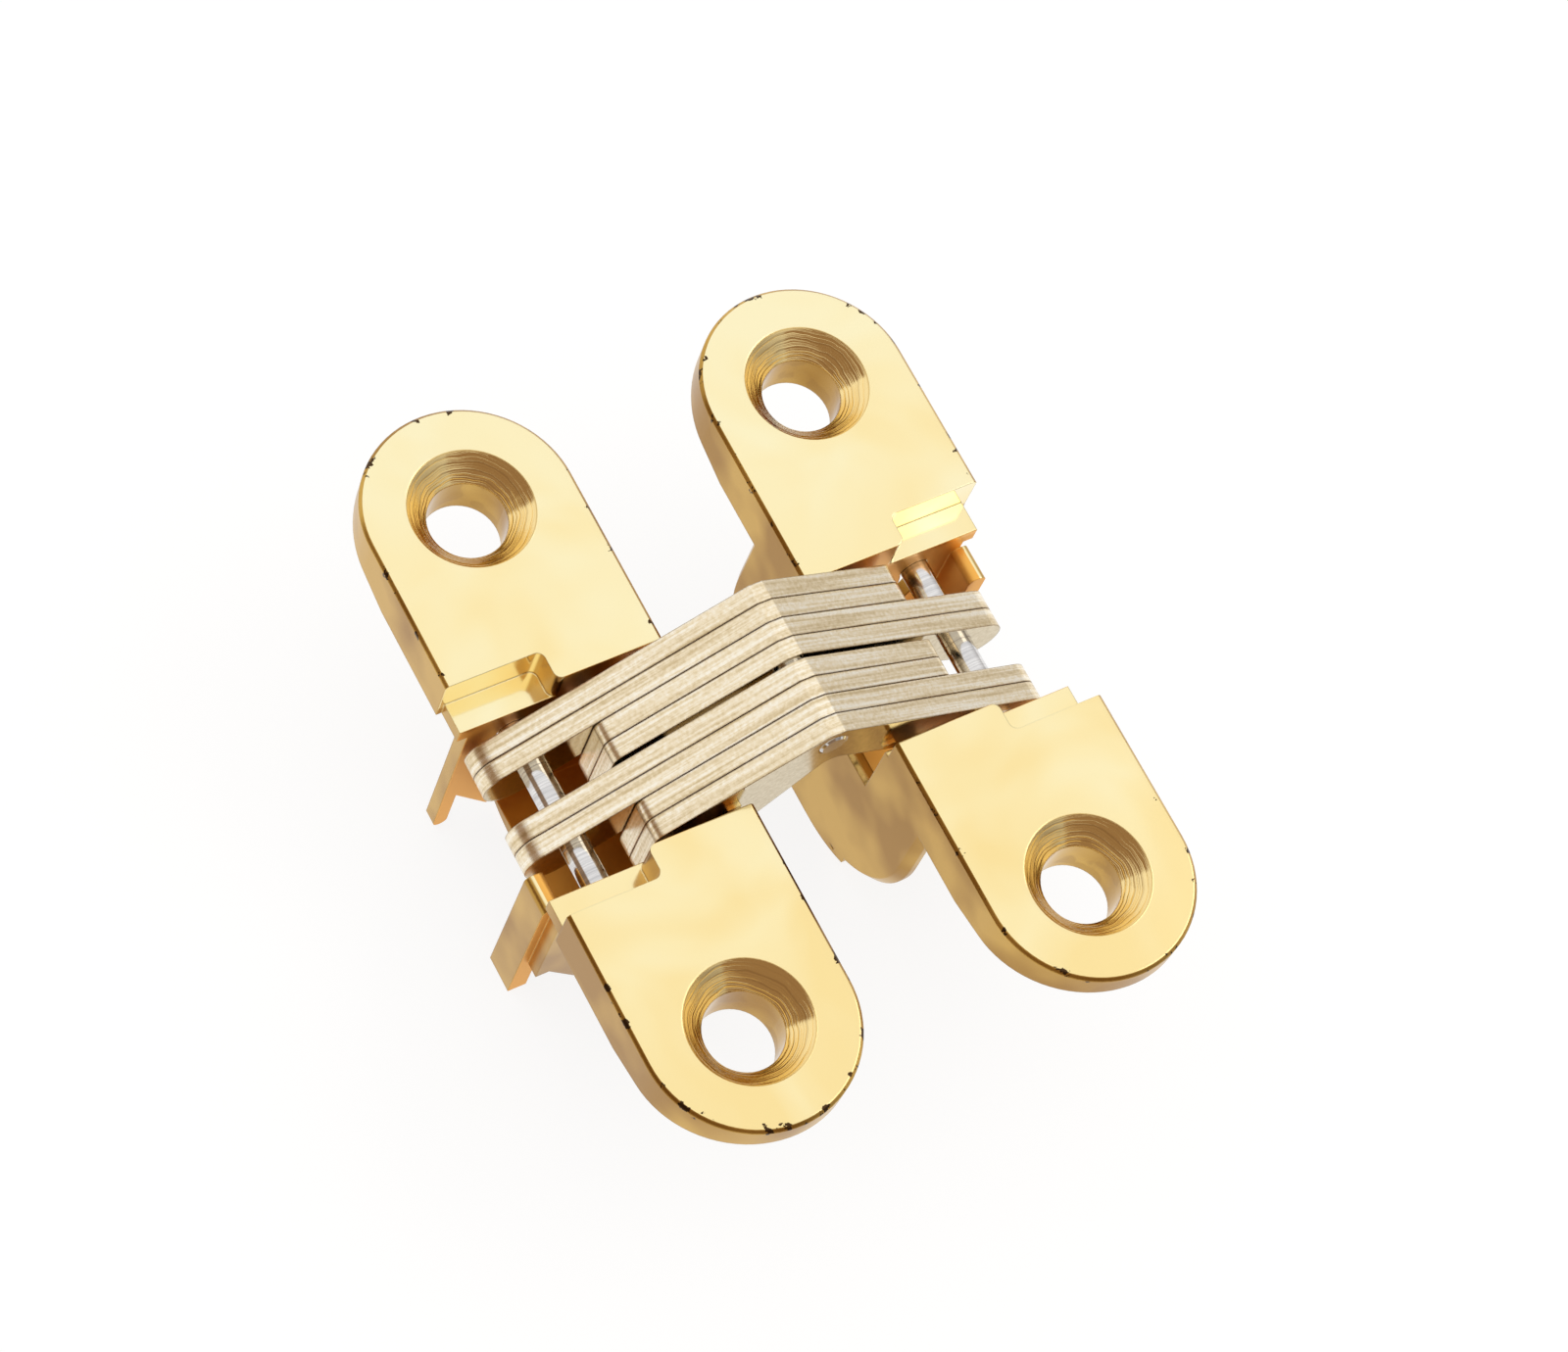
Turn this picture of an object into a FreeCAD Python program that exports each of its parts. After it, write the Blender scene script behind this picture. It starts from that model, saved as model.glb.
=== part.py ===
import FreeCAD, Part
import math
import os
import Sketcher

# Concealed door hinge, fully open and lying face up.
# X crosses the two leaves, Y runs along the pins and Z is up, out of the leaves' faces.
# The origin is on the ground under the middle of the hinge.

SIZES = (
    ("leaf_width", 13.0, "width of a leaf across its face"),
    ("leaf_gap", 9.44, "space between the two leaves when open flat"),
    ("screw_spacing", 34.2, "distance between a leaf's two screw holes"),
    ("ear_thick", 3.6, "thickness of the screw ears"),
    ("ear_lead", 2.6, "how far inside a screw hole the ear's underside starts to rise"),
    ("tip_thick", 1.7, "thickness of an ear at its tip"),
    ("boss_depth", 4.3, "depth of the raised land round a screw bore"),
    ("boss_wall", 1.3, "width of that land"),
    ("housing_depth", 16.2, "from the face to the bottom of the housing"),
    ("window_half", 5.55, "half the width of the link window"),
    ("cheek_thick", 0.95, "thickness of the cheeks beside the links"),
    ("floor_thick", 0.9, "thickness of the housing floor"),
    ("floor_reach", 8.0, "how far the floor runs from the leaf's inner edge"),
    ("wall_thick", 0.9, "thickness of the inner side wall"),
    ("wall_half", 10.6, "half the length of the inner side wall"),
    ("wall_top", 6.6, "depth of the inner wall's top under the links"),
    ("wall_play", 0.15, "space between the outer links and the inner wall's opening"),
    ("wall_round", 8.0, "round of the inner wall's lower corners"),
    ("wall_edge", 0.5, "bevel of the inner wall's outer lower edge"),
    ("notch_width", 6.1, "width of the notch beside the long arms"),
    ("notch_length", 1.95, "length of that notch past the window"),
    ("notch_depth", 2.5, "depth of the ledge in the notch"),
    ("ledge_inset", 0.35, "how far the ledge stays inside the outer edge"),
    ("notch_round", 0.5, "round of the notch's two upright corners"),
    ("cheek_inset", 1.0, "how far the cheeks stay inside the outer edge"),
    ("finger_width", 0.9, "width of the outer finger of the back cheek"),
    ("mouth_rise", 3.8, "height of the slanted cut beside the finger"),
    ("mouth_run", 3.0, "width of that cut at the bottom"),
    ("post_inset", 0.4, "how far the outer post stays inside the outer edge"),
    ("post_thick", 1.2, "thickness of the outer post"),
    ("post_width", 2.3, "reach of the outer post along the pins"),
    ("post_top", 4.3, "depth of the post's top under the face"),
    ("post_round", 0.5, "round of the post's top"),
    ("bore_diameter", 4.8, "screw bore"),
    ("sink_diameter", 7.6, "countersink at the face"),
    ("sink_depth", 1.55, "depth of the countersink"),
    ("edge_bevel", 0.2, "bevel along the face's outer edge"),
    ("side_gap", 0.475, "space between the outer links and the cheeks"),
    ("link_gap", 0.05, "space between two links"),
    ("middle_gap", 0.25, "space between the two inner links"),
    ("crest_reach", 1.45, "from the centre pin's axis to the links' upper edges"),
    ("under_reach", 1.6, "from the centre pin's axis to the arms' lower edges"),
    ("nose_reach", 1.5, "from a sliding pin to the middle of the nose's round"),
    ("nose_round", 1.85, "round of a long arm's nose"),
    ("foot_round", 2.3, "round of a short arm's foot"),
    ("centre_height", 2.9, "height of the centre pin over the faces"),
    ("slide_reach", 13.6, "from the middle to the sliding pins"),
    ("slide_drop", 4.8, "depth of the sliding pins under the faces"),
    ("fixed_reach", 8.2, "from the middle to the fixed pins"),
    ("fixed_drop", 5.9, "depth of the fixed pins under the faces"),
    ("apex_flat", 0.9, "width of the flat on a link's elbow"),
    ("heel_round", 0.9, "round of a short arm's upper corner"),
    ("crotch_round", 1.0, "round under a link's elbow"),
    ("pin_diameter", 1.75, "diameter of all pins"),
    ("pin_clearance", 0.05, "running clearance round a pin"),
    ("pin_bevel", 0.15, "bevel at the ends of the moving pins"),
    ("centre_proud", 0.1, "how far the centre pin stands out of the links"),
    ("slide_end", 0.1, "how far a sliding pin stops inside the cheeks' outer faces"),
    ("closed_gap", 4.0, "space between the faces when the hinge is closed"),
)

doc = FreeCAD.newDocument("concealed_hinge")
sheet = doc.addObject("Spreadsheet::Sheet", "sizes")
for row, (alias, value, note) in enumerate(SIZES, start=1):
    sheet.set(f"A{row}", note)
    sheet.set(f"B{row}", str(value))
    sheet.setAlias(f"B{row}", alias)
doc.recompute()
size = {alias: float(sheet.get(alias)) for alias, value, note in SIZES}


def turned(vector, degrees):
    """Turns a vector in the XZ plane, from +X towards +Z."""
    angle = math.radians(degrees)
    return FreeCAD.Vector(
        vector.x * math.cos(angle) - vector.z * math.sin(angle),
        0,
        vector.x * math.sin(angle) + vector.z * math.cos(angle),
    )


def point(across, up):
    """A point in the XZ plane, its height taken from the leaves' faces."""
    return FreeCAD.Vector(across, 0, up)


# The pins' places with the hinge open, heights taken from the faces.
centre = point(0, size["centre_height"])
left_fixed = point(-size["fixed_reach"], -size["fixed_drop"])
left_slide = point(-size["slide_reach"], -size["slide_drop"])

# Closing turns the links that are pinned to the left leaf by link_turn, until the centre pin
# lies midway between the two faces. The other links turn back by elbow_turn about the centre pin.
crank = centre - left_fixed
crank_angle = math.degrees(math.atan2(crank.z, crank.x))
closed_rise = (size["closed_gap"] / 2 - left_fixed.z) / crank.Length
link_turn = 180 - math.degrees(math.asin(closed_rise)) - crank_angle
elbow_turn = 180 - 2 * link_turn


def slide_at(share):
    """Where the left sliding pin is when the hinge is closed by a share from 0 to 1."""
    elbow = left_fixed + turned(crank, share * link_turn)
    return elbow + turned(left_slide - centre, share * (link_turn + elbow_turn))


pin_radius = size["pin_diameter"] / 2
loose_radius = pin_radius + size["pin_clearance"]
inner_edge = size["leaf_gap"] / 2
outer_edge = inner_edge + size["leaf_width"]
cheek_outside = size["window_half"] + size["cheek_thick"]
print("link turn", round(link_turn, 3), "elbow turn", round(elbow_turn, 3))


def bind(target, prop, text):
    """Ties a property to the sheet, with <name> standing for a cell."""
    target.setExpression(prop, text.replace("<", "sizes.").replace(">", ""))


def block(name, across, along, up):
    """A box between pairs of expressions along X, Y and Z."""
    box = doc.addObject("Part::Box", name)
    for side, place, (low, high) in zip(("Length", "Width", "Height"), "xyz", (across, along, up)):
        bind(box, side, f"({high}) - ({low})")
        bind(box, f"Placement.Base.{place}", low)
    return box


def post_round(name, radius, across, along, up):
    """An upright cylinder; up is a pair of expressions."""
    round_bar = doc.addObject("Part::Cylinder", name)
    bind(round_bar, "Radius", radius)
    bind(round_bar, "Height", f"({up[1]}) - ({up[0]})")
    bind(round_bar, "Placement.Base.x", across)
    bind(round_bar, "Placement.Base.y", along)
    bind(round_bar, "Placement.Base.z", up[0])
    return round_bar


def rod(name, radius, across, along, up):
    """A cylinder along Y; along is a pair of expressions."""
    bar = doc.addObject("Part::Cylinder", name)
    bar.Placement = FreeCAD.Placement(FreeCAD.Vector(), FreeCAD.Rotation(FreeCAD.Vector(1, 0, 0), -90))
    bind(bar, "Radius", radius)
    bind(bar, "Height", f"({along[1]}) - ({along[0]})")
    bind(bar, "Placement.Base.x", across)
    bind(bar, "Placement.Base.y", along[0])
    bind(bar, "Placement.Base.z", up)
    return bar


def joined(name, pieces):
    fuse = doc.addObject("Part::MultiFuse", name)
    fuse.Shapes = pieces
    fuse.Refine = True
    return fuse


def cut_from(name, base, tools):
    """The base less all the tools, which have to cut something."""
    cutter = joined(name + "_tools", tools) if len(tools) > 1 else tools[0]
    cut = doc.addObject("Part::Cut", name)
    cut.Base = base
    cut.Tool = cutter
    cut.Refine = True
    doc.recompute()
    if cut.Shape.Volume >= base.Shape.Volume:
        raise ValueError(name + " cuts nothing")
    return cut


OUTER = "-<leaf_gap>/2 - <leaf_width>"
INNER = "-<leaf_gap>/2"
MIDDLE = "-<leaf_gap>/2 - <leaf_width>/2"
CHEEK_OUT = "<window_half> + <cheek_thick>"
LINK_THICK = "((<window_half> - <side_gap> - <middle_gap>/2 - 3*<link_gap>) / 4)"
BOTTOM = "-<housing_depth>"
CHEEK_END = "-<leaf_gap>/2 - <leaf_width> + <cheek_inset>"
FINGER_IN = "-<leaf_gap>/2 - <leaf_width> + <cheek_inset> + <finger_width>"


def slot_tool(name):
    """The sliding pin's path through both cheeks, as wide as the pin and its clearance."""
    start, middle, end = slide_at(0), slide_at(0.5), slide_at(1)
    run = Part.Arc(start, middle, end)
    hub = run.toShape().Curve.Center
    if (end - start).cross(hub - start).y > 0:
        near, far = loose_radius, -loose_radius
    else:
        near, far = -loose_radius, loose_radius

    def beside(place, shift):
        return place + (place - hub).normalize() * shift

    along_start = (middle - start).normalize()
    along_end = (end - middle).normalize()
    edges = [
        Part.Arc(beside(start, near), beside(middle, near), beside(end, near)).toShape(),
        Part.Arc(beside(end, near), end + along_end * loose_radius, beside(end, far)).toShape(),
        Part.Arc(beside(end, far), beside(middle, far), beside(start, far)).toShape(),
        Part.Arc(beside(start, far), start - along_start * loose_radius, beside(start, near)).toShape(),
    ]
    face = Part.Face(Part.Wire(edges))
    face.translate(FreeCAD.Vector(0, -cheek_outside - 1, 0))
    tool = doc.addObject("Part::Feature", name)
    tool.Shape = face.extrude(FreeCAD.Vector(0, 2 * cheek_outside + 2, 0))
    return tool


def screw_tools(side, sign):
    """Bore and countersink of one screw hole."""
    along = f"{sign}<screw_spacing>/2"
    bore = post_round(side + "_bore", "<bore_diameter>/2", MIDDLE, along, ("-<boss_depth> - 1", "1"))
    sink = doc.addObject("Part::Cone", side + "_countersink")
    bind(sink, "Radius1", "<bore_diameter>/2")
    bind(sink, "Radius2", "<sink_diameter>/2")
    bind(sink, "Height", "<sink_depth>")
    bind(sink, "Placement.Base.x", MIDDLE)
    bind(sink, "Placement.Base.y", along)
    bind(sink, "Placement.Base.z", "-<sink_depth>")
    return [bore, sink]


def wedge(name, run, rise, reach, turn, corner, far_top=False):
    """A three-cornered bar; its upright side is at its start, or at its far end if far_top."""
    bar = doc.addObject("Part::Wedge", name)
    bar.Placement = FreeCAD.Placement(FreeCAD.Vector(), turn)
    bar.Xmin = 0
    bar.Ymin = 0
    bar.Zmin = 0
    bar.Z2min = 0
    bar.X2min = 0
    bar.X2max = 0
    bind(bar, "Xmax", run)
    if far_top:
        bind(bar, "X2min", run)
        bind(bar, "X2max", run)
    bind(bar, "Ymax", rise)
    bind(bar, "Zmax", reach)
    bind(bar, "Z2max", reach)
    for axis, text in zip("xyz", corner):
        bind(bar, "Placement.Base." + axis, text)
    return bar


def mouth_tool(name, along):
    """The slanted cut in a cheek's lower outer corner; along is its pair of expressions."""
    turn = FreeCAD.Rotation(FreeCAD.Vector(1, 0, 0), 90)
    reach = f"({along[1]}) - ({along[0]})"
    return wedge(name, "<mouth_run>", "<mouth_rise>", reach, turn, (FINGER_IN, along[1], BOTTOM))


def rise_tool(name, sign):
    """The cut that makes an ear thinner from inside its screw hole to its tip."""
    run = "(<ear_lead> + <leaf_width>/2)"
    turn = FreeCAD.Rotation(FreeCAD.Vector(1, 1, 1), 120)
    across = OUTER
    if sign:
        turn = FreeCAD.Rotation(FreeCAD.Vector(0, 0, 1), 180).multiply(turn)
        across = INNER
    start = f"{sign}(<screw_spacing>/2 - <ear_lead>)"
    rise = "(<ear_thick> - <tip_thick>)"
    return wedge(name, run, rise, "<leaf_width>", turn, (across, start, "-<ear_thick>"), far_top=True)


def leaf_casting(side):
    """One die cast leaf, modelled as the left one: ears, cheeks, inner wall, floor and fingers."""
    name = side + "_leaf"
    ear_depth = ("-<ear_thick>", "0")
    plate = block(name + "_plate", (OUTER, INNER), ("-<screw_spacing>/2", "<screw_spacing>/2"), ear_depth)
    ends = [
        post_round(name + "_end_" + word, "<leaf_width>/2", MIDDLE, sign + "<screw_spacing>/2", ear_depth)
        for word, sign in (("back", ""), ("front", "-"))
    ]
    window = block(
        name + "_window",
        (OUTER + " - 1", INNER + " + 1"),
        ("-<window_half>", "<window_half>"),
        ("-<ear_thick> - 1", "1"),
    )
    notches = []
    for word, low, high in (
        ("back", "<window_half>", "<window_half> + <notch_length>"),
        ("front", "-<window_half> - <notch_length>", "-<window_half>"),
    ):
        notches.append(
            block(
                name + "_notch_" + word,
                (OUTER + " - 1", OUTER + " + <notch_width>"),
                (low, high),
                ("-<notch_depth>", "1"),
            )
        )
        notches.append(
            block(
                name + "_ledge_edge_" + word,
                (OUTER + " - 1", OUTER + " + <ledge_inset>"),
                (low, high),
                ("-<ear_thick> - 1", "1"),
            )
        )
    rises = [rise_tool(name + "_back_rise", ""), rise_tool(name + "_front_rise", "-")]
    sloped = cut_from(name + "_sloped", joined(name + "_outline", [plate] + ends), rises)
    bosses = [
        post_round(
            name + "_boss_" + word,
            "<bore_diameter>/2 + <boss_wall>",
            MIDDLE,
            sign + "<screw_spacing>/2",
            ("-<boss_depth>", "-<tip_thick>"),
        )
        for word, sign in (("back", ""), ("front", "-"))
    ]
    holes = screw_tools(side + "_back", "") + screw_tools(side + "_front", "-")
    ear_pair = joined(name + "_ear_pair", [sloped] + bosses)
    cut_ears = cut_from(name + "_ears", ear_pair, [window] + notches + holes)
    ears = doc.addObject("Part::Fillet", name + "_notch_rounded")
    ears.Base = cut_ears
    notch_side = -outer_edge + size["notch_width"]
    corners = []
    for number, edge in enumerate(cut_ears.Shape.Edges, start=1):
        box = edge.BoundBox
        upright = box.XLength < 1e-6 and box.YLength < 1e-6
        if upright and abs(box.XMin - notch_side) < 1e-6 and box.ZMax > -1e-6:
            corners.append((number, size["notch_round"], size["notch_round"]))
    ears.Edges = corners
    doc.recompute()

    # The cheeks stand beside the links, under the notches' ledges.
    cheek_up = (BOTTOM, "-<notch_depth>")
    back = ("<window_half>", CHEEK_OUT)
    front = ("-(" + CHEEK_OUT + ")", "-<window_half>")
    back_cheek = block(name + "_back_cheek", (CHEEK_END, INNER), back, cheek_up)
    front_cheek = block(name + "_front_cheek", (CHEEK_END, INNER), front, cheek_up)
    mouths = [mouth_tool(name + "_back_mouth", back), mouth_tool(name + "_front_mouth", front)]
    finger_across = (CHEEK_END + " - 1", FINGER_IN)
    end_up = (BOTTOM + " - 1", BOTTOM + " + <finger_width>/2")
    finger_end = block(name + "_finger_end", finger_across, back, end_up)
    clear_up = (BOTTOM + " - 1", BOTTOM + " + <mouth_rise>")
    front_clear = block(name + "_front_clear", finger_across, front, clear_up)
    cheek_pair = joined(name + "_cheek_pair", [back_cheek, front_cheek])
    cheeks = cut_from(name + "_cheeks", cheek_pair, mouths + [finger_end, front_clear])
    finger_round = rod(
        name + "_finger_round",
        "<finger_width>/2",
        CHEEK_END + " + <finger_width>/2",
        back,
        BOTTOM + " + <finger_width>/2",
    )
    post = block(
        name + "_post",
        (OUTER + " + <post_inset>", OUTER + " + <post_inset> + <post_thick>"),
        ("-<window_half>", "-<window_half> + <post_width>"),
        (BOTTOM, "-<post_top>"),
    )
    doc.recompute()
    post_eased = doc.addObject("Part::Fillet", name + "_post_eased")
    post_eased.Base = post
    post_eased.Edges = [
        (number, size["post_round"], size["post_round"])
        for number, edge in enumerate(post.Shape.Edges, start=1)
        if edge.BoundBox.ZMin > -size["post_top"] - 1e-6 and edge.BoundBox.YLength > size["post_width"] / 2
    ]

    # The inner side wall is one plate with round lower corners, lower where the links pass over it.
    # The cheeks and the floor keep inside the same rounds.
    def rounded(word, across):
        plate = block(name + "_" + word, across, ("-<wall_half>", "<wall_half>"), (BOTTOM, "-<ear_thick>/2"))
        doc.recompute()
        eased = doc.addObject("Part::Fillet", name + "_" + word + "_rounded")
        eased.Base = plate
        eased.Edges = [
            (number, size["wall_round"], size["wall_round"])
            for number, edge in enumerate(plate.Shape.Edges, start=1)
            if edge.BoundBox.XLength > size["wall_thick"] / 2 and edge.CenterOfMass.z < -size["housing_depth"] / 2
        ]
        doc.recompute()
        return eased

    wall_rounded = rounded("wall", (INNER + " - <wall_thick>", INNER))
    wall_eased = doc.addObject("Part::Chamfer", name + "_wall_eased")
    wall_eased.Base = wall_rounded
    outer_lower = [
        number
        for number, edge in enumerate(wall_rounded.Shape.Edges, start=1)
        if edge.BoundBox.XMin > -inner_edge - 1e-6
        and edge.BoundBox.YLength > size["wall_round"] / 2
        and edge.CenterOfMass.z < -size["housing_depth"] / 2
    ]
    wall_eased.Edges = [(number, size["wall_edge"], size["wall_edge"]) for number in outer_lower]
    doc.recompute()
    wall_window = block(
        name + "_wall_window",
        (INNER + " - <wall_thick> - 1", INNER + " + 1"),
        ("-<window_half> + <side_gap> - <wall_play>", "<window_half> - <side_gap> + <wall_play>"),
        ("-<wall_top>", "1"),
    )
    wall_cut = cut_from(name + "_wall_cut", wall_eased, [wall_window])
    floor = block(
        name + "_floor",
        (INNER + " - <floor_reach>", INNER),
        ("-<window_half>", "<window_half>"),
        (BOTTOM, BOTTOM + " + <floor_thick>"),
    )
    both = ("-(" + CHEEK_OUT + ")", CHEEK_OUT)
    finger_zone = block(name + "_finger_zone", (OUTER, FINGER_IN), both, cheek_up)
    reach = joined(name + "_reach", [rounded("body", (FINGER_IN, INNER)), finger_zone])
    housing = doc.addObject("Part::MultiCommon", name + "_housing")
    housing.Shapes = [joined(name + "_box", [cheeks, floor]), reach]
    whole = joined(name + "_whole", [ears, housing, finger_round, post_eased, wall_cut])
    pin_bore = rod(
        name + "_pin_bore",
        "<pin_diameter>/2",
        "-<fixed_reach>",
        ("-(" + CHEEK_OUT + ") - 1", CHEEK_OUT + " + 1"),
        "-<fixed_drop>",
    )
    casting = cut_from(name + "_bored", whole, [pin_bore, slot_tool(name + "_slot")])

    # A small bevel along the face's outer edge, where the casting was dressed.
    dressed = doc.addObject("Part::Chamfer", name + "_casting")
    dressed.Base = casting
    rim = []
    for number, edge in enumerate(casting.Shape.Edges, start=1):
        box = edge.BoundBox
        on_face = box.ZMax < 1e-6 and box.ZMin > -1e-6
        at_end = box.YLength > size["leaf_width"] / 2 and edge.Curve.TypeId == "Part::GeomCircle"
        at_end = at_end and edge.Curve.Radius > size["sink_diameter"] / 2 + 0.1
        straight = edge.Curve.TypeId == "Part::GeomLine" and box.XLength < 1e-6
        on_side = straight and min(abs(box.XMin + inner_edge), abs(box.XMin + outer_edge)) < 1e-6
        if on_face and (at_end or on_side):
            rim.append((number, size["edge_bevel"], size["edge_bevel"]))
    dressed.Edges = rim
    doc.recompute()
    return dressed


def plane_of(body, role):
    return next(item for item in body.Origin.OriginFeatures if item.Role == role)


def side_sketch(body, name, offset):
    """A sketch on the body's XZ plane; offset is its place along Y, as an expression."""
    sketch = body.newObject("Sketcher::SketchObject", name)
    sketch.AttachmentSupport = [(plane_of(body, "XZ_Plane"), "")]
    sketch.MapMode = "FlatFace"
    bind(sketch, "AttachmentOffset.Base.z", f"-({offset})")
    doc.recompute()
    return sketch


def flat(place):
    """A point of the XZ plane in a sketch's own axes."""
    return FreeCAD.Vector(place.x, place.z, 0)


def limit(sketch, name, text, *constraint):
    """Adds a constraint whose value comes from the sheet."""
    number = sketch.addConstraint(Sketcher.Constraint(*constraint))
    sketch.renameConstraint(number, name)
    bind(sketch, "Constraints." + name, text)


def line(first, last):
    return Part.LineSegment(flat(first), flat(last)), 1, 2


def arc(hub, radius, first, last, clockwise=False):
    """An arc from one angle to another, in degrees, and which of its ends comes first."""
    circle = Part.Circle(flat(hub), FreeCAD.Vector(0, 0, 1), radius)
    if clockwise:
        return Part.ArcOfCircle(circle, math.radians(last), math.radians(first)), 2, 1
    return Part.ArcOfCircle(circle, math.radians(first), math.radians(last)), 1, 2


def link_outline(sketch):
    """A link's outline, with its long arm to the left and its short arm to the right."""
    fixed = point(-left_fixed.x, left_fixed.z)
    under = size["under_reach"]
    arm = (centre - left_slide).normalize()
    nose = left_slide - arm * size["nose_reach"]
    slope = math.degrees(math.atan2(arm.z, arm.x))
    widening = (centre - nose).Length
    top_slope = slope - math.degrees(math.asin((size["nose_round"] - size["crest_reach"]) / widening))
    low_slope = slope + math.degrees(math.asin((size["nose_round"] - under) / widening))
    steep = math.degrees(math.atan2(centre.z - fixed.z, fixed.x))
    steep += math.degrees(math.asin((size["foot_round"] - under) / (centre - fixed).Length))
    tangent = math.tan(math.radians(top_slope))
    ridge = centre.z + size["crest_reach"] / math.cos(math.radians(top_slope))
    half_flat = size["apex_flat"] / 2
    flat_level = ridge - half_flat * tangent

    def off(place, angle, distance):
        return place + turned(point(distance, 0), angle)

    nose_top = off(nose, 90 + top_slope, size["nose_round"])
    nose_under = off(nose, low_slope - 90, size["nose_round"])
    foot_under = off(fixed, -90 - steep, size["foot_round"])
    heel_across = fixed.x + size["foot_round"]
    heel = point(heel_across, ridge - heel_across * tangent)

    # The rounds at the heel and under the elbow touch the two edges that meet there.
    heel_turn = 90 - top_slope
    heel_reach = size["heel_round"] * math.tan(math.radians(heel_turn / 2))
    heel_start = off(heel, -90, heel_reach)
    heel_end = off(heel, 180 - top_slope, heel_reach)
    heel_hub = off(heel_start, 180, size["heel_round"])
    crotch_turn = low_slope + steep
    crotch_down = under / math.cos(math.radians(crotch_turn / 2))
    crotch = off(centre, -90 + (low_slope - steep) / 2, crotch_down)
    crotch_reach = size["crotch_round"] * math.tan(math.radians(crotch_turn / 2))
    crotch_left = off(crotch, 180 + low_slope, crotch_reach)
    crotch_right = off(crotch, -steep, crotch_reach)
    crotch_hub = off(crotch_left, low_slope - 90, size["crotch_round"])

    pieces = [
        line(point(-half_flat, flat_level), nose_top),
        arc(nose, size["nose_round"], 90 + top_slope, 270 + low_slope),
        line(nose_under, crotch_left),
        arc(crotch_hub, size["crotch_round"], 90 + low_slope, 90 - steep, clockwise=True),
        line(crotch_right, foot_under),
        arc(fixed, size["foot_round"], -90 - steep, 0),
        line(point(heel_across, fixed.z), heel_start),
        arc(heel_hub, size["heel_round"], 0, 90 - top_slope),
        line(heel_end, point(half_flat, flat_level)),
        line(point(half_flat, flat_level), point(-half_flat, flat_level)),
    ]
    for geometry, first, last in pieces:
        sketch.addGeometry(geometry, False)
    joints = len(pieces)
    for number in range(joints):
        after = (number + 1) % joints
        ends = (number, pieces[number][2], after, pieces[after][1])
        kind = "Coincident" if number in (8, 9) else "Tangent"
        sketch.addConstraint(Sketcher.Constraint(kind, *ends))


ARM_RISE = "(<slide_drop> + <centre_height>)"
ARM_LENGTH = "sqrt(<slide_reach>^2 + " + ARM_RISE + "^2)"
NOSE_ACROSS = "<slide_reach> * (1 + <nose_reach> / " + ARM_LENGTH + ")"
NOSE_DOWN = "<slide_drop> + <nose_reach> * " + ARM_RISE + " / " + ARM_LENGTH


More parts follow.
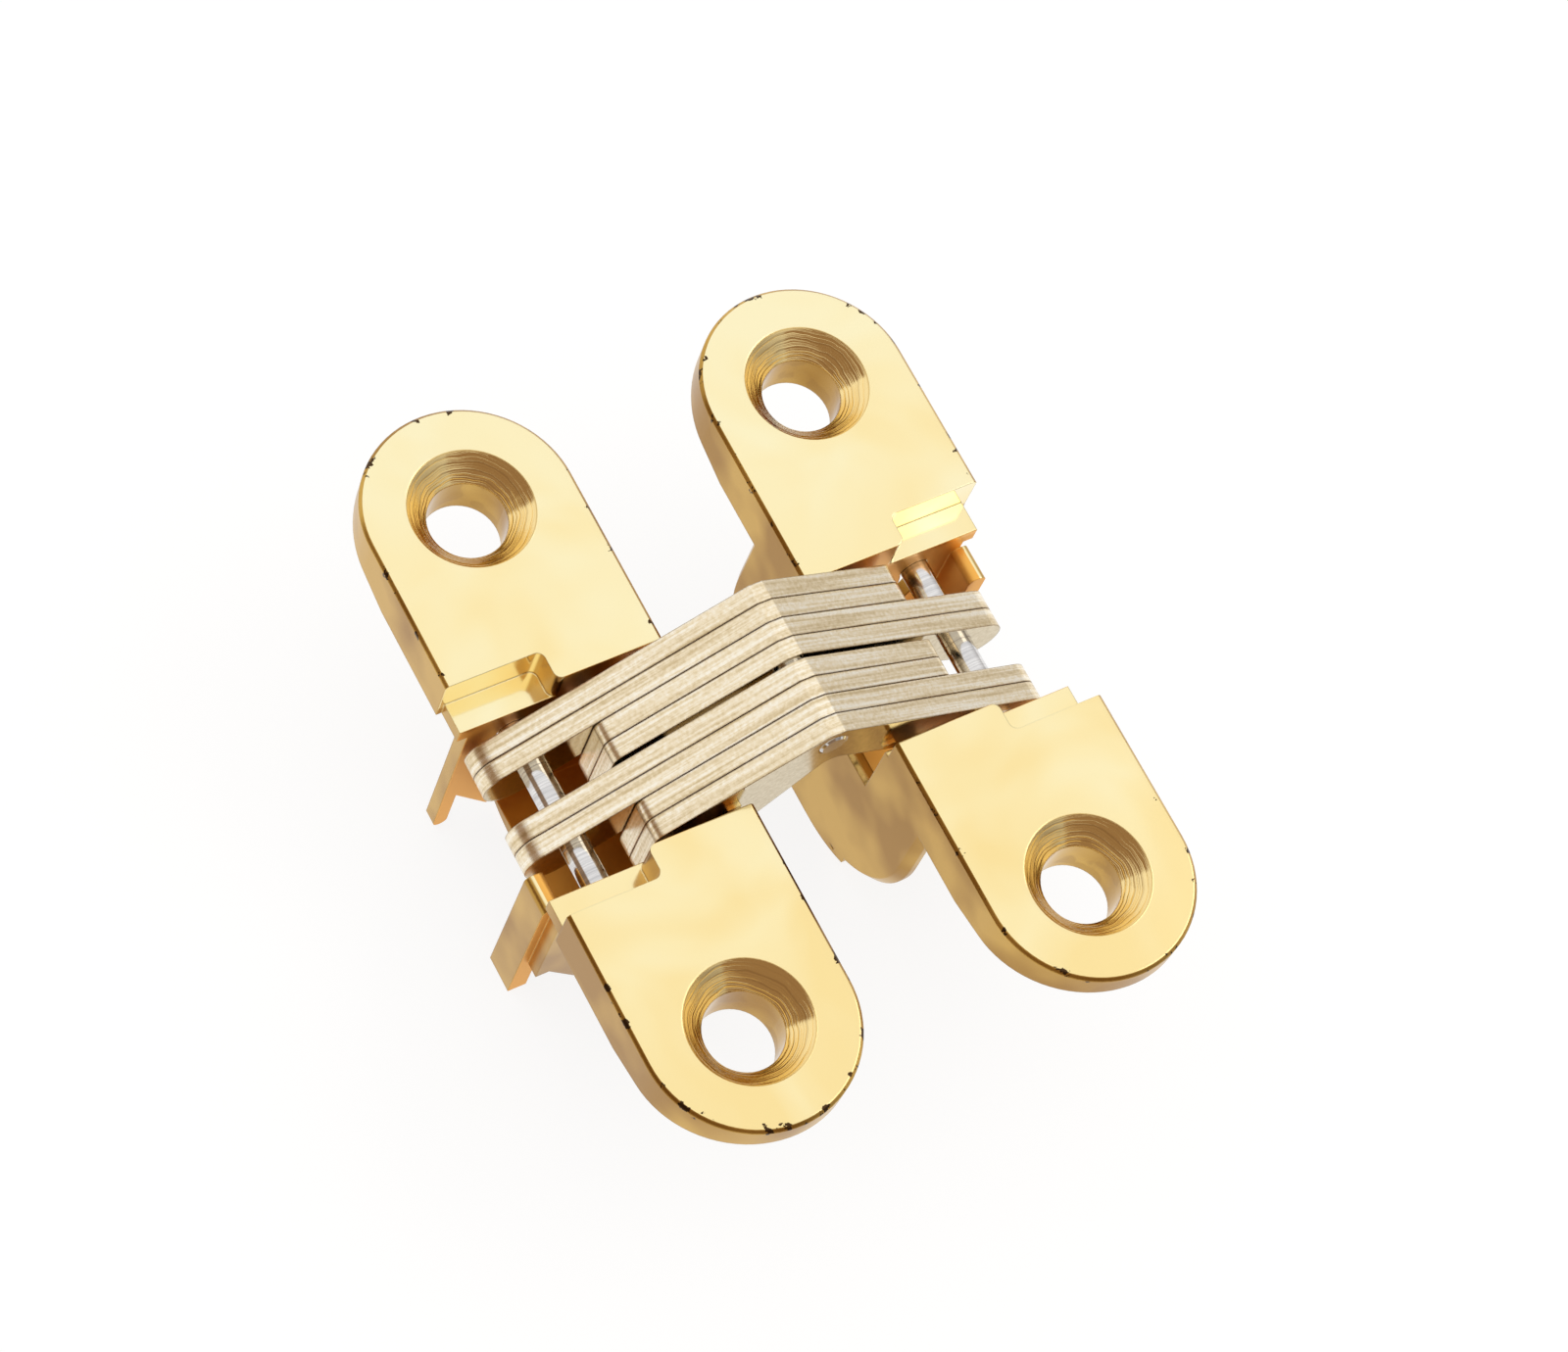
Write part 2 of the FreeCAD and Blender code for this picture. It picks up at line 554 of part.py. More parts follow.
def link(name, low, backwards):
    """A blanked steel link; low is its nearer face along Y, and backwards turns it end for end."""
    body = doc.addObject("PartDesign::Body", name)
    doc.recompute()
    sketch = side_sketch(body, name + "_profile", low)
    link_outline(sketch)
    centre_radius = pin_radius if backwards else loose_radius
    for hub, radius in ((centre, centre_radius), (left_slide, pin_radius)):
        sketch.addGeometry(Part.Circle(flat(hub), FreeCAD.Vector(0, 0, 1), radius), False)
    fixed_hub = point(size["fixed_reach"], -size["fixed_drop"])
    sketch.addGeometry(Part.Circle(flat(fixed_hub), FreeCAD.Vector(0, 0, 1), loose_radius), False)
    nose, foot, centre_hole, slide_hole, fixed_hole = 1, 5, 10, 11, 12
    arm = (centre - left_slide).normalize()
    nose_hub = left_slide - arm * size["nose_reach"]
    sketch.addConstraint(Sketcher.Constraint("Coincident", fixed_hole, 3, foot, 3))
    sketch.addConstraint(Sketcher.Constraint("PointOnObject", centre_hole, 3, -2))
    sketch.addConstraint(Sketcher.Constraint("Vertical", 6))
    sketch.addConstraint(Sketcher.Constraint("Symmetric", 9, 1, 9, 2, -2))
    limit(sketch, "rise", "<centre_height>", "DistanceY", -1, 1, centre_hole, 3, size["centre_height"])
    limit(sketch, "slide_across", "<slide_reach>", "DistanceX", slide_hole, 3, -1, 1, size["slide_reach"])
    limit(sketch, "slide_down", "<slide_drop>", "DistanceY", slide_hole, 3, -1, 1, size["slide_drop"])
    limit(sketch, "nose_across", NOSE_ACROSS, "DistanceX", nose, 3, -1, 1, -nose_hub.x)
    limit(sketch, "nose_down", NOSE_DOWN, "DistanceY", nose, 3, -1, 1, -nose_hub.z)
    limit(sketch, "fixed_across", "<fixed_reach>", "DistanceX", -1, 1, foot, 3, size["fixed_reach"])
    limit(sketch, "fixed_down", "<fixed_drop>", "DistanceY", foot, 3, -1, 1, size["fixed_drop"])
    limit(sketch, "nose_round", "<nose_round>", "Radius", nose, size["nose_round"])
    limit(sketch, "foot_round", "<foot_round>", "Radius", foot, size["foot_round"])
    limit(sketch, "crotch_round", "<crotch_round>", "Radius", 3, size["crotch_round"])
    limit(sketch, "heel_round", "<heel_round>", "Radius", 7, size["heel_round"])
    limit(sketch, "flat_width", "<apex_flat>", "DistanceX", 9, 2, 9, 1, size["apex_flat"])
    centre_hole_text = "<pin_diameter>/2" if backwards else "<pin_diameter>/2 + <pin_clearance>"
    limit(sketch, "centre_hole", centre_hole_text, "Radius", centre_hole, centre_radius)
    limit(sketch, "slide_hole", "<pin_diameter>/2", "Radius", slide_hole, pin_radius)
    limit(sketch, "fixed_hole", "<pin_diameter>/2 + <pin_clearance>", "Radius", fixed_hole, loose_radius)
    for number, alias in ((0, "crest_reach"), (2, "under_reach"), (4, "under_reach"), (8, "crest_reach")):
        limit(sketch, f"arm_side_{number}", f"<{alias}>", "Distance", centre_hole, 3, number, size[alias])
    blank = body.newObject("PartDesign::Pad", name + "_blank")
    blank.Profile = sketch
    blank.Reversed = True
    bind(blank, "Length", LINK_THICK)
    body.Tip = blank
    doc.recompute()
    return body


def pin(name, across, up, half_length):
    """A round pin across the hinge with bevelled ends."""
    bar = rod(name + "_bar", "<pin_diameter>/2", across, ("-(" + half_length + ")", half_length), up)
    doc.recompute()
    bevelled = doc.addObject("Part::Chamfer", name)
    bevelled.Base = bar
    bevelled.Edges = [
        (number, size["pin_bevel"], size["pin_bevel"])
        for number, edge in enumerate(bar.Shape.Edges, start=1)
        if edge.Curve.TypeId == "Part::GeomCircle"
    ]
    doc.recompute()
    return bevelled


def place(piece, label, backwards=False):
    """Lifts a piece by the housing's depth, turns it end for end if asked, and labels it."""
    turn = FreeCAD.Rotation(FreeCAD.Vector(0, 0, 1), 180 if backwards else 0)
    piece.Placement = FreeCAD.Placement(FreeCAD.Vector(), turn)
    bind(piece, "Placement.Base.z", "<housing_depth>")
    piece.Label = label
    return piece


pieces = []
for side, backwards in (("left", False), ("right", True)):
    pieces.append(place(leaf_casting(side), side + "_leaf_casting", backwards))

# Counted from the back: links 1, 2, 5 and 6 reach into the left leaf, the others into the right.
step = "(" + LINK_THICK + " + <link_gap>)"
back_low = "<middle_gap>/2 + {}*" + step
front_low = "-<middle_gap>/2 - " + LINK_THICK + " - {}*" + step
lows = {1: back_low.format(3), 2: back_low.format(2), 5: front_low.format(0), 6: front_low.format(1)}
for number, low in lows.items():
    pieces.append(place(link(f"link_{number}_body", low, False), f"link_{number}"))
    pieces.append(place(link(f"link_{9 - number}_body", low, True), f"link_{9 - number}", True))

stack_half = "<window_half> - <side_gap> + <centre_proud>"
for side, backwards in (("left", False), ("right", True)):
    across = "<fixed_reach>" if backwards else "-<fixed_reach>"
    fixed_up = "<housing_depth> - <fixed_drop>"
    fixed_pin = rod(side + "_fixed_pin", "<pin_diameter>/2", across, ("-(" + CHEEK_OUT + ")", CHEEK_OUT), fixed_up)
    fixed_pin.Label = side + "_fixed_pin"
    pieces.append(fixed_pin)
    slide_pin = pin(side + "_slide", "-<slide_reach>", "-<slide_drop>", CHEEK_OUT + " - <slide_end>")
    pieces.append(place(slide_pin, side + "_slide_pin", backwards))
pieces.append(place(pin("middle", "0", "<centre_height>", stack_half), "centre_pin"))
doc.recompute()

for item in doc.Objects:
    if "Invalid" in item.State or "Error" in item.State:
        raise ValueError(item.Name + " did not build")
for piece in pieces:
    if piece.Shape.isNull() or not piece.Shape.isValid() or len(piece.Shape.Solids) != 1:
        raise ValueError(piece.Label + " is not one valid solid")
os.makedirs("parts", exist_ok=True)
for piece in pieces:
    piece.Shape.exportStep("parts/" + piece.Label + ".step")
    print(piece.Label, round(piece.Shape.Volume, 2))
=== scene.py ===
import math
import bpy
from mathutils import Matrix, Vector


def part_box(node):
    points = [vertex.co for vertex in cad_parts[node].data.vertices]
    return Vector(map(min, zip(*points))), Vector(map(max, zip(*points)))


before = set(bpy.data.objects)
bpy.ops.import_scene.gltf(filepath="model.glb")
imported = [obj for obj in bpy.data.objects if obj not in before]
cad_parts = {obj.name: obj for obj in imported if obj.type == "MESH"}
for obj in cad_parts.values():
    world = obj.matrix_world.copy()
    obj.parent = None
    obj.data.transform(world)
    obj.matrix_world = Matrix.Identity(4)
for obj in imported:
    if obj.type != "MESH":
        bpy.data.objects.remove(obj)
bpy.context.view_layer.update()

scene = bpy.context.scene

# Camera. It looks down on the open hinge from its left front corner, a little rolled,
# through a long lens that keeps the two leaves nearly parallel.
eye = Vector((-0.099825, -0.074626, 0.243576))
target = Vector((0.000694, 0.000730, 0.0162))
roll = math.radians(27.55)
camera_data = bpy.data.cameras.new("camera")
camera_data.lens = 104.44
camera_data.sensor_width = 36.0
camera_data.clip_start = 0.01
camera_data.clip_end = 10.0
camera = bpy.data.objects.new("camera", camera_data)
scene.collection.objects.link(camera)
aim = (target - eye).to_track_quat("-Z", "Y").to_matrix().to_4x4()
camera.matrix_world = Matrix.Translation(eye) @ aim @ Matrix.Rotation(roll, 4, "Z")
scene.camera = camera

# Studio. A pale dome of diffused daylight, dimmer at the horizon and brighter towards the
# window beyond the hinge. Behind the camera is a dim room with a hard upper edge, which
# polished metal mirrors as brown patches. Straight to the camera the dome is white.
scene.view_settings.view_transform = "Standard"
world = bpy.data.worlds.new("studio")
scene.world = world
world.use_nodes = True
tree = world.node_tree
tree.nodes.clear()


def colour(hex_code):
    """An sRGB hex value as linear red, green, blue and alpha."""
    parts = [int(hex_code[i : i + 2], 16) / 255 for i in (1, 3, 5)]
    return [c / 12.92 if c <= 0.04045 else ((c + 0.055) / 1.055) ** 2.4 for c in parts] + [1.0]


def add(tree, kind, settings=None, links=None):
    """Adds a node. Both dicts are keyed by a property's name or a socket's name or number."""
    node = tree.nodes.new("ShaderNode" + kind)
    for key, value in (settings or {}).items():
        if key == "stops":
            steps = node.color_ramp.elements
            steps.remove(steps[1])
            steps[0].position, steps[0].color = value[0][0], colour(value[0][1])
            for position, shade in value[1:]:
                steps.new(position).color = colour(shade)
        elif isinstance(key, str) and hasattr(node, key):
            setattr(node, key, value)
        else:
            node.inputs[key].default_value = value
    for key, source in (links or {}).items():
        tree.links.new(source, node.inputs[key])
    return node


# The room's upper edge climbs towards the point straight behind the camera. All heights and
# widths on the dome are parts of its radius.
camera_side = (-0.83, -0.56, 0.0)
lintel_height = 0.24
lintel_climb = 0.75
lintel_blur = 0.02
jamb = 0.25
jamb_blur = 0.04
way = add(tree, "TexCoord").outputs["Generated"]
up = add(tree, "SeparateXYZ", {}, {0: way}).outputs["Z"]
behind = add(tree, "VectorMath", {"operation": "DOT_PRODUCT", 1: camera_side}, {0: way}).outputs["Value"]
slant = {"operation": "MULTIPLY_ADD", 1: lintel_climb, 2: lintel_height}
lintel = add(tree, "Math", slant, {0: behind}).outputs[0]
under = add(tree, "Math", {"operation": "SUBTRACT"}, {0: lintel, 1: up}).outputs[0]
lintel_edge = {"From Min": -lintel_blur, "From Max": lintel_blur}
under = add(tree, "MapRange", lintel_edge, {"Value": under}).outputs[0]
jamb_edge = {"From Min": jamb, "From Max": jamb + jamb_blur}
beside = add(tree, "MapRange", jamb_edge, {"Value": behind}).outputs[0]
room = add(tree, "Math", {"operation": "MULTIPLY"}, {0: under, 1: beside}).outputs[0]

# The daylight goes from a warm haze at the horizon, thinner towards the window, to white.
window_side = (-0.29, 0.96, 0.0)
horizon_level = 0.64
window_gain = 0.50
haze_bottom = 0.1
haze_top = 0.75
window = add(tree, "VectorMath", {"operation": "DOT_PRODUCT", 1: window_side}, {0: way}).outputs["Value"]
gain = {"operation": "MULTIPLY_ADD", 1: window_gain, 2: horizon_level}
horizon = add(tree, "Math", gain, {0: window}).outputs[0]
climb = {"From Min": haze_bottom, "From Max": haze_top, "To Max": 1.0}
level = add(tree, "MapRange", climb, {"Value": up, "To Min": horizon}).outputs[0]
haze = {"data_type": "RGBA", 6: colour("#4E3622"), 7: colour("#FFFFFF")}
sky = add(tree, "Mix", haze, {0: level}).outputs[2]
dim = {"data_type": "RGBA", 7: colour("#987D64")}
dome = add(tree, "Mix", dim, {0: room, 6: sky}).outputs[2]
light = add(tree, "Background", {"Strength": 1.0}, {"Color": dome}).outputs[0]
white = add(tree, "Background", {"Color": colour("#FFFFFF"), "Strength": 1.0}).outputs[0]
seen = add(tree, "LightPath").outputs["Is Camera Ray"]
both = add(tree, "MixShader", {}, {0: seen, 1: light, 2: white}).outputs[0]
add(tree, "OutputWorld", {}, {"Surface": both})

# A weak square softbox to the right, which turns the shadow to the left.
stand = Vector((0.55, -0.10, 0.60))
softbox_data = bpy.data.lights.new("softbox", "AREA")
softbox_data.size = 0.45
softbox_data.energy = 0.8
softbox = bpy.data.objects.new("softbox", softbox_data)
scene.collection.objects.link(softbox)
aim = (-stand).to_track_quat("-Z", "Y").to_matrix().to_4x4()
softbox.matrix_world = Matrix.Translation(stand) @ aim

# Floor. A wide sheet of matt white card, on which the hinge lies open. It takes the soft
# shadow, and the camera and the metal's reflections see it as nearly white.
reach = 1.5
glow_share = 0.80
glow_strength = 1.08
floor_mesh = bpy.data.meshes.new("floor")
corners = [(-reach, -reach, 0), (reach, -reach, 0), (reach, reach, 0), (-reach, reach, 0)]
floor_mesh.from_pydata(corners, [], [(0, 1, 2, 3)])
floor = bpy.data.objects.new("floor", floor_mesh)
scene.collection.objects.link(floor)


def bare_material(name):
    """A new material whose node tree is still empty."""
    material = bpy.data.materials.new(name)
    material.use_nodes = True
    material.node_tree.nodes.clear()
    return material


material = bare_material("white_card")
tree = material.node_tree
card = add(tree, "BsdfPrincipled", {"Base Color": colour("#EFEDEA"), "Roughness": 0.9}).outputs[0]
glow = add(tree, "Emission", {"Color": colour("#FFFFFF"), "Strength": glow_strength}).outputs[0]
path = add(tree, "LightPath").outputs
camera_or_metal = {0: path["Is Camera Ray"], 1: path["Is Glossy Ray"]}
some = add(tree, "Math", {"operation": "MAXIMUM"}, camera_or_metal).outputs[0]
some = add(tree, "Math", {"operation": "MAXIMUM"}, {0: some, 1: path["Is Transmission Ray"]}).outputs[0]
share = add(tree, "Math", {"operation": "MULTIPLY", 1: glow_share}, {0: some}).outputs[0]
both = add(tree, "MixShader", {}, {0: share, 1: card, 2: glow}).outputs[0]
add(tree, "OutputMaterial", {}, {"Surface": both})
floor_mesh.materials.append(material)

# Leaf castings. Each leaf is one zinc die casting, tumbled, its face polished, and gold
# plated. The plate is pale on the polished face and ledges, a lit copy with painted
# highlight, and deeper on the walls that stayed as cast, partly painted shade, with
# turning marks in the countersinks and small nicks on the face's rim.
mm = 0.001
leaf_low, leaf_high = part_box("left_leaf_casting")
leaf_middle = abs(leaf_low[0] + leaf_high[0]) / 2
leaf_half = (leaf_high[0] - leaf_low[0]) / 2
face_level = leaf_high[2]
screw_half = 17.1 * mm
material = bare_material("gold_plated_zinc")
tree = material.node_tree
coordinates = add(tree, "TexCoord").outputs
place = coordinates["Object"]
place_parts = add(tree, "SeparateXYZ", {}, {0: place}).outputs
facing = add(tree, "SeparateXYZ", {}, {0: coordinates["Normal"]}).outputs
# Level faces take the pale tone, a lit copy of the plate with painted highlight; the rest take the deep
# tone, a shaded copy with painted shade.
level_faces = {"From Min": 0.90, "From Max": 0.97}
polished_and_painted_lit = add(tree, "MapRange", level_faces, {"Value": facing["Z"]}).outputs[0]

# The face goes from deep cream at the front tips to pale at the back, a painted light gradient, in
# clouds 8 mm wide.
painted_back_light_share = 0.45
front_to_back = {"From Min": -24.0 * mm, "From Max": 24.0 * mm}
clouds = {"Scale": 1 / (8.0 * mm), "Detail": 2.0, "Distortion": 0.6}
cloud = add(tree, "TexNoise", clouds, {"Vector": place}).outputs[0]
painted_back_light = add(tree, "MapRange", front_to_back, {"Value": place_parts["Y"]}).outputs[0]
share = {"operation": "MULTIPLY_ADD", 1: painted_back_light_share}
mixed = add(tree, "Math", share, {0: painted_back_light, 2: cloud}).outputs[0]
pale_painted_light_steps = [(0.42, "#FBE2A0"), (0.70, "#FDEBB4"), (1.0, "#FDF2C6")]
pale_gold_and_painted_light = add(tree, "ValToRGB", {"stops": pale_painted_light_steps}, {0: mixed}).outputs[0]

# The notch walls were polished with the face, down to their ledges 2.7 mm below it, and get its pale
# tone with the painted highlight.
notch_foot = face_level - 2.7 * mm
notch_end = 13.0 * mm
crosswise_walls = {"From Min": 0.6, "From Max": 0.8}
lengthwise = add(tree, "Math", {"operation": "ABSOLUTE"}, {0: facing["Y"]}).outputs[0]
notch_wall = add(tree, "MapRange", crosswise_walls, {"Value": lengthwise}).outputs[0]
notch_depth = {"From Min": notch_foot - 0.3 * mm, "From Max": notch_foot}
shallow = add(tree, "MapRange", notch_depth, {"Value": place_parts["Z"]}).outputs[0]
to_middle = add(tree, "Math", {"operation": "ABSOLUTE"}, {0: place_parts["Y"]}).outputs[0]
notch_length = {"From Min": notch_end + 0.5 * mm, "From Max": notch_end}
by_links = add(tree, "MapRange", notch_length, {"Value": to_middle}).outputs[0]
notch_wall = add(tree, "Math", {"operation": "MULTIPLY"}, {0: notch_wall, 1: shallow}).outputs[0]
notch_wall = add(tree, "Math", {"operation": "MULTIPLY"}, {0: notch_wall, 1: by_links}).outputs[0]
polished_and_painted_lit = add(tree, "Math", {"operation": "MAXIMUM"}, {0: polished_and_painted_lit, 1: notch_wall}).outputs[0]

# The cast walls are deeper, partly from their cast skin and partly painted shade, with browner patches 5
# mm wide where the plate is thin.
patches = {"Scale": 0.19 / mm, "Detail": 2.0, "Roughness": 0.45}
patch = add(tree, "TexNoise", patches, {"Vector": place}).outputs[0]
deep_painted_shade_steps = [(0.38, "#AA7F39"), (0.62, "#D0A755")]
deep_gold_and_painted_shade = add(tree, "ValToRGB", {"stops": deep_painted_shade_steps}, {0: patch}).outputs[0]
plate = add(tree, "Mix", {"data_type": "RGBA"}, {0: polished_and_painted_lit, 6: deep_gold_and_painted_shade, 7: pale_gold_and_painted_light}).outputs[2]

# The pocket that takes the links kept its matt skin. Its light orange tone is painted bounce light,
# which lifts the shade in it. Its walls face the hinge's middle, and the wall beside the gap
# between the leaves is left out.
pocket_half = 5.56 * mm
gap_wall = 5.0 * mm
pocket_width = {"From Min": pocket_half + 0.02 * mm, "From Max": pocket_half}
in_pocket = add(tree, "MapRange", pocket_width, {"Value": to_middle}).outputs[0]
outward = {0: place_parts["X"], 1: facing["X"]}
outward = add(tree, "Math", {"operation": "MULTIPLY"}, outward).outputs[0]
inward = add(tree, "MapRange", {"From Min": 1.0 * mm, "From Max": 0.0}, {"Value": outward}).outputs[0]
in_pocket = add(tree, "Math", {"operation": "MULTIPLY"}, {0: in_pocket, 1: inward}).outputs[0]
across = add(tree, "Math", {"operation": "ABSOLUTE"}, {0: place_parts["X"]}).outputs[0]
past_gap = {"From Min": gap_wall, "From Max": gap_wall + 0.2 * mm}
past_gap = add(tree, "MapRange", past_gap, {"Value": across}).outputs[0]
in_pocket = add(tree, "Math", {"operation": "MULTIPLY"}, {0: in_pocket, 1: past_gap}).outputs[0]
painted_bounce_light = {"data_type": "RGBA", 7: colour("#EFB257")}
plate = add(tree, "Mix", painted_bounce_light, {0: in_pocket, 6: plate}).outputs[2]

# Turning marks 0.17 mm apart run round each screw hole's axis. The cutter brightened the
# countersinks and left them a little dished, and some oil stayed in the marks.
rim_radius = 3.8 * mm
wander = 0.5 * mm
dish_slope = 0.10
screw_place = (leaf_middle, screw_half, 0.0)
offset = add(tree, "VectorMath", {"operation": "ABSOLUTE"}, {0: place}).outputs[0]
offset = add(tree, "VectorMath", {"operation": "SUBTRACT", 1: screw_place}, {0: offset}).outputs[0]
offset = add(tree, "VectorMath", {"operation": "MULTIPLY", 1: (1.0, 1.0, 0.0)}, {0: offset}).outputs[0]
radius = add(tree, "VectorMath", {"operation": "LENGTH"}, {0: offset}).outputs["Value"]
wobble = add(tree, "TexNoise", {"Scale": 0.42 / mm, "Detail": 2.0}, {"Vector": place}).outputs[0]
wobbly = add(tree, "Math", {"operation": "MULTIPLY_ADD", 1: wander}, {0: wobble, 2: radius}).outputs[0]
marks = {"noise_dimensions": "1D", "Scale": 6.0 / mm, "Detail": 3.0}
rings = add(tree, "TexNoise", marks, {"W": wobbly}).outputs[0]
rim = {"From Min": rim_radius + 0.05 * mm, "From Max": rim_radius - 0.1 * mm}
inside = add(tree, "MapRange", rim, {"Value": radius}).outputs[0]
rings = add(tree, "Math", {"operation": "MULTIPLY"}, {0: rings, 1: inside}).outputs[0]
dish = add(tree, "Math", {"operation": "MINIMUM", 1: rim_radius}, {0: radius}).outputs[0]
dish = add(tree, "Math", {"operation": "MULTIPLY", 1: -dish_slope}, {0: dish}).outputs[0]
sloping = {"From Min": 0.2, "From Max": 0.4}
turned = add(tree, "MapRange", sloping, {"Value": facing["Z"]}).outputs[0]
turned = add(tree, "Math", {"operation": "MULTIPLY"}, {0: turned, 1: inside}).outputs[0]
brightened = {"data_type": "RGBA", 7: colour("#FADF9F")}
plate = add(tree, "Mix", brightened, {0: turned, 6: plate}).outputs[2]
smears = {"From Min": 0.52, "From Max": 0.62, "To Max": 0.3}
smear = add(tree, "MapRange", smears, {"Value": rings}).outputs[0]
oily = {"data_type": "RGBA", 7: colour("#8A6230")}
plate = add(tree, "Mix", oily, {0: smear, 6: plate}).outputs[2]

# Polishing left waves 4 mm long and 0.01 mm deep. The turning marks are 0.03 mm deep, and
# the edges are rounded by 0.14 mm.
wave_depth = 0.01 * mm
mark_depth = 0.03 * mm
edge_radius = 0.14 * mm
waves = add(tree, "TexNoise", {"Scale": 1 / (4.0 * mm), "Detail": 1.0}, {"Vector": place}).outputs[0]
waves = add(tree, "Math", {"operation": "MULTIPLY", 1: wave_depth}, {0: waves}).outputs[0]
relief = add(tree, "Math", {"operation": "MULTIPLY_ADD", 1: mark_depth}, {0: rings, 2: waves}).outputs[0]
relief = add(tree, "Math", {"operation": "ADD"}, {0: relief, 1: dish}).outputs[0]
rounded = add(tree, "Bevel", {"samples": 6, "Radius": edge_radius}).outputs[0]
bump = add(tree, "Bump", {"Distance": 1.0}, {"Height": relief, "Normal": rounded}).outputs[0]

# Nicks up to 0.6 mm deep show the dark zinc where the plate is knocked off the face's rim.
# The distance to the rim is measured from the line between the two screw holes' centres.
nick_depth = 0.6 * mm
nick_edge = 0.05 * mm
beyond = {"operation": "MAXIMUM", 1: (-1.0, 0.0, -1.0)}
offset = add(tree, "VectorMath", beyond, {0: offset}).outputs[0]
to_line = add(tree, "VectorMath", {"operation": "LENGTH"}, {0: offset}).outputs["Value"]
to_rim = add(tree, "Math", {"operation": "SUBTRACT", 0: leaf_half}, {1: to_line}).outputs[0]
bites = {"Scale": 0.8 / mm, "Detail": 4.0, "Roughness": 0.65}
bite = add(tree, "TexNoise", bites, {"Vector": place}).outputs[0]
bite_depth = {"From Min": 0.53, "From Max": 0.70, "To Max": nick_depth}
bite = add(tree, "MapRange", bite_depth, {"Value": bite}).outputs[0]
below = add(tree, "Math", {"operation": "SUBTRACT", 0: face_level}, {1: place_parts["Z"]}).outputs[0]
nick = add(tree, "Math", {"operation": "SUBTRACT"}, {0: bite, 1: to_rim}).outputs[0]
nick = add(tree, "Math", {"operation": "SUBTRACT"}, {0: nick, 1: below}).outputs[0]
nick = add(tree, "MapRange", {"From Max": nick_edge}, {"Value": nick}).outputs[0]
bare_zinc = {"data_type": "RGBA", 7: colour("#4B3621")}
plate = add(tree, "Mix", bare_zinc, {0: nick, 6: plate}).outputs[2]

# The polished face and the turned countersinks mirror most sharply, and the pocket least.
cast_roughness = 0.26
polished_roughness = 0.11
pocket_roughness = 0.22
shiny = add(tree, "Math", {"operation": "MAXIMUM"}, {0: polished_and_painted_lit, 1: inside}).outputs[0]
gloss = {"To Min": cast_roughness, "To Max": polished_roughness}
gloss = add(tree, "MapRange", gloss, {"Value": shiny}).outputs[0]
matter = {"operation": "MULTIPLY_ADD", 1: pocket_roughness}
gloss = add(tree, "Math", matter, {0: in_pocket, 2: gloss}).outputs[0]
sources = {"Base Color": plate, "Roughness": gloss, "Normal": bump}
gold = add(tree, "BsdfPrincipled", {"Metallic": 1.0}, sources).outputs[0]
add(tree, "OutputMaterial", {}, {"Surface": gold})


def finish_pieces(names, material):
    """Puts the material in every slot of the named pieces."""
    for name in names:
        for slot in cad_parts[name].material_slots:
            slot.material = material


finish_pieces(["left_leaf_casting", "right_leaf_casting"], material)

# Links. Eight chevrons blanked from steel strip, with a pale champagne wash. Blanking
# leaves fine lines along the cut edges, and painted shade darkens the rounded edges and
# the corners between links.
material = bare_material("washed_steel")
tree = material.node_tree
coordinates = add(tree, "TexCoord").outputs
facing = add(tree, "SeparateXYZ", {}, {0: coordinates["Normal"]}).outputs["Y"]
facing = add(tree, "Math", {"operation": "ABSOLUTE"}, {0: facing}).outputs[0]
cut_edges = {"From Min": 0.8, "From Max": 0.5}
sheared = add(tree, "MapRange", cut_edges, {"Value": facing}).outputs[0]

# Lines 0.26 mm apart and some 11 mm long on the cut edges, and a grain of 0.24 mm all over,
# both drawn coarser than the real ones so that they show.
line_share = 0.7
stretch = {"operation": "MULTIPLY", 1: (0.09 / mm, 3.8 / mm, 0.09 / mm)}
lines = add(tree, "VectorMath", stretch, {0: coordinates["Object"]}).outputs[0]
streaks = {"Scale": 1.0, "Detail": 3.0, "Roughness": 0.6}
lines = add(tree, "TexNoise", streaks, {"Vector": lines}).outputs[0]
specks = {"Scale": 4.2 / mm, "Detail": 3.0}
grain = add(tree, "TexNoise", specks, {"Vector": coordinates["Object"]}).outputs[0]
mottle = add(tree, "Mix", {0: line_share}, {2: grain, 3: lines}).outputs[0]
edge_steps = [(0.36, "#D3BD94"), (0.50, "#F0DFBE"), (0.62, "#FDF5E3")]
edge_tone = add(tree, "ValToRGB", {"stops": edge_steps}, {0: mottle}).outputs[0]
side_steps = [(0.3, "#C2B18D"), (0.7, "#D8C9A8")]
side_tone = add(tree, "ValToRGB", {"stops": side_steps}, {0: grain}).outputs[0]
wash = add(tree, "Mix", {"data_type": "RGBA"}, {0: sheared, 6: side_tone, 7: edge_tone}).outputs[2]
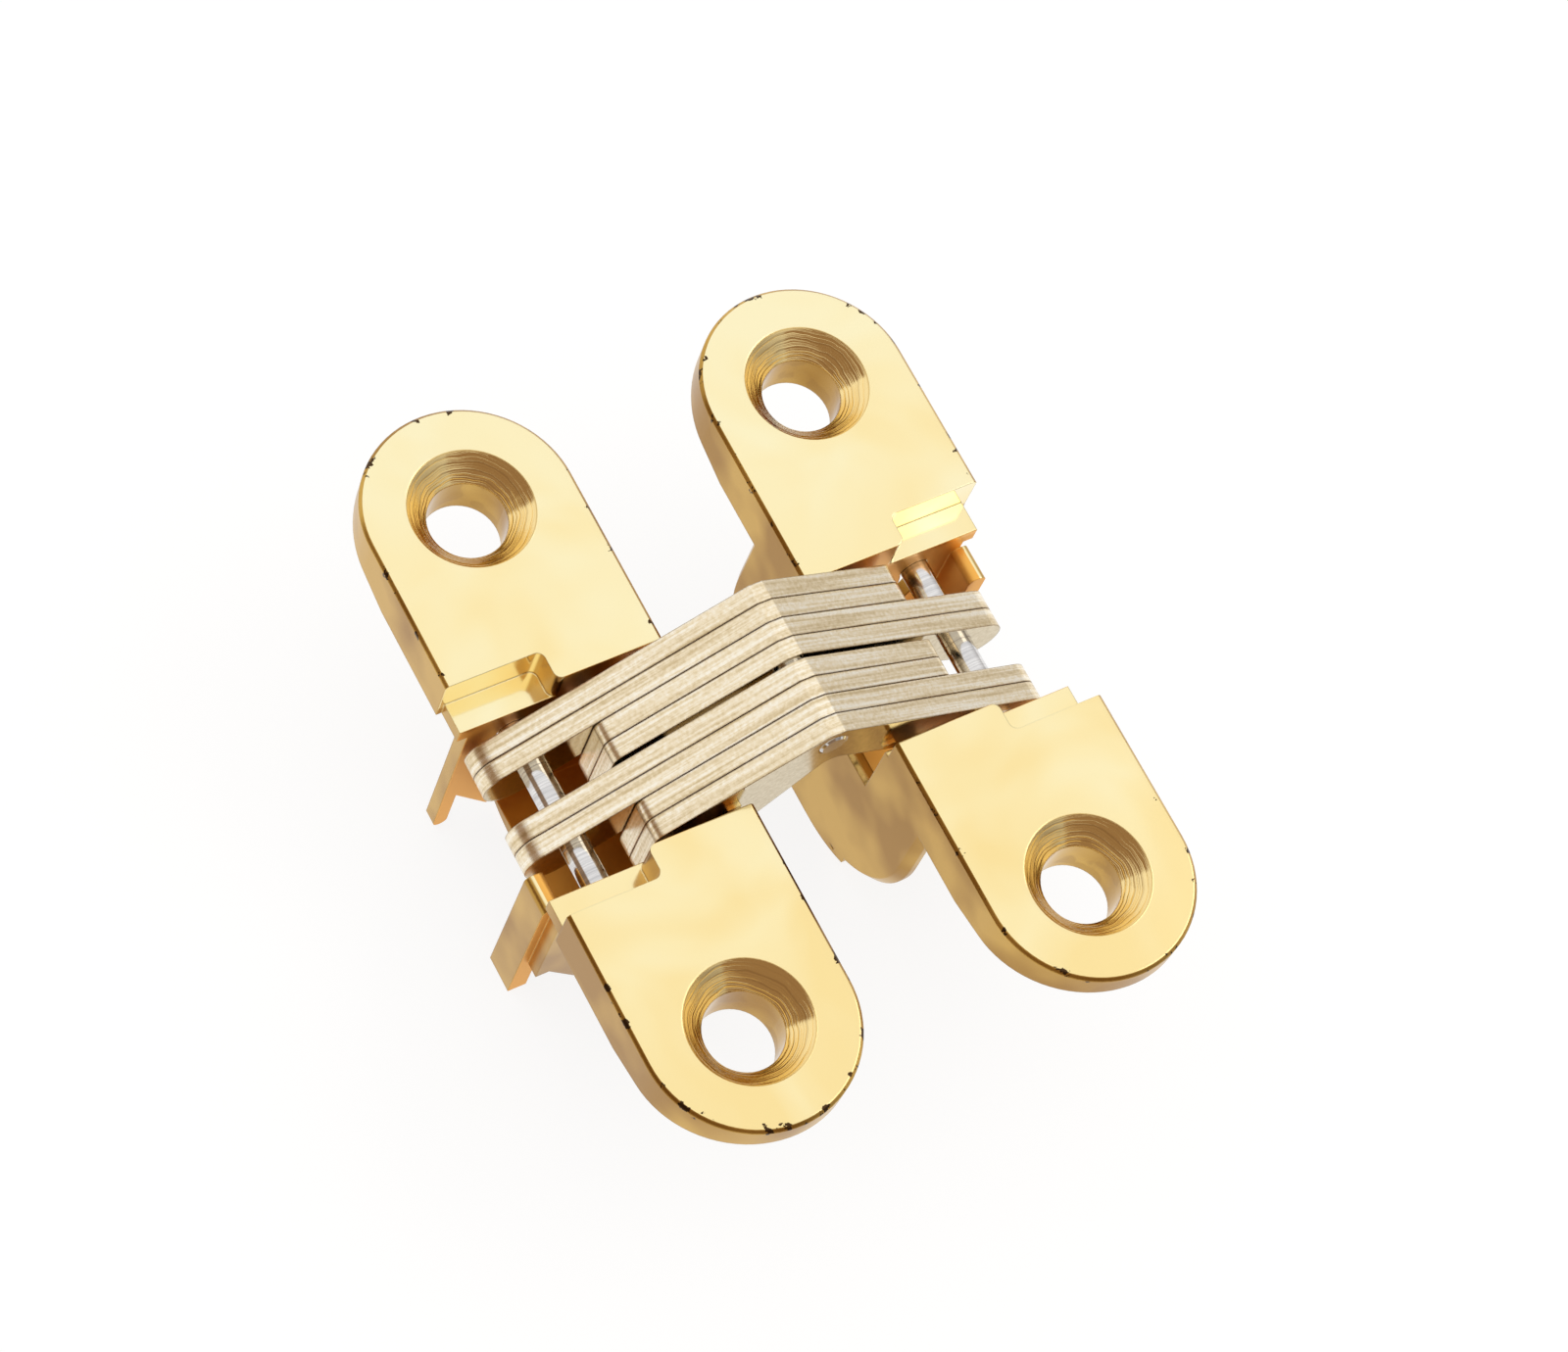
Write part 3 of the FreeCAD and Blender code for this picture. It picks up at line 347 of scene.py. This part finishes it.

# Tumbling rounded the corners by 0.16 mm. Where the surface turns away there, painted shade darkens it,
# as in the gaps between links.
edge_radius = 0.16 * mm
line_depth = 0.008 * mm
rounded = add(tree, "Bevel", {"samples": 6, "Radius": edge_radius}).outputs[0]
true_normal = add(tree, "NewGeometry").outputs["Normal"]
turning = {0: rounded, 1: true_normal}
flatness = add(tree, "VectorMath", {"operation": "DOT_PRODUCT"}, turning).outputs["Value"]
painted_shade_corner = {"From Min": 0.96, "From Max": 0.82, "To Max": 0.7}
painted_shade_corner = add(tree, "MapRange", painted_shade_corner, {"Value": flatness}).outputs[0]
painted_gap_shade = {"data_type": "RGBA", 7: colour("#7A4F28")}
wash = add(tree, "Mix", painted_gap_shade, {0: painted_shade_corner, 6: wash}).outputs[2]
relief = add(tree, "Math", {"operation": "MULTIPLY", 1: line_depth}, {0: lines}).outputs[0]
bump = add(tree, "Bump", {"Distance": 1.0}, {"Height": relief, "Normal": rounded}).outputs[0]
side_roughness = 0.12
edge_roughness = 0.26
gloss = {"To Min": side_roughness, "To Max": edge_roughness}
gloss = add(tree, "MapRange", gloss, {"Value": sheared}).outputs[0]
sources = {"Base Color": wash, "Roughness": gloss, "Normal": bump}
steel = add(tree, "BsdfPrincipled", {"Metallic": 1.0}, sources).outputs[0]
add(tree, "OutputMaterial", {}, {"Surface": steel})
finish_pieces([f"link_{number}" for number in range(1, 9)], material)

# Pins. Five ground steel pins with bevelled ends: one fixed and one sliding in each leaf,
# and one on which the links cross. Grinding left them bright, with lines 0.14 mm apart
# round them.
material = bare_material("ground_steel")
tree = material.node_tree
place = add(tree, "TexCoord").outputs["Object"]
stretch = {"operation": "MULTIPLY", 1: (0.3 / mm, 7.0 / mm, 0.3 / mm)}
ground = add(tree, "VectorMath", stretch, {0: place}).outputs[0]
ground = add(tree, "TexNoise", {"Scale": 1.0, "Detail": 2.0}, {"Vector": ground}).outputs[0]
bright_steps = [(0.3, "#C6C4C4"), (0.7, "#ECEAE8")]
bright = add(tree, "ValToRGB", {"stops": bright_steps}, {0: ground}).outputs[0]
pin = {"Metallic": 1.0, "Roughness": 0.14}
pin = add(tree, "BsdfPrincipled", pin, {"Base Color": bright}).outputs[0]
add(tree, "OutputMaterial", {}, {"Surface": pin})
pins = ["left_fixed_pin", "right_fixed_pin", "left_slide_pin", "right_slide_pin", "centre_pin"]
finish_pieces(pins, material)
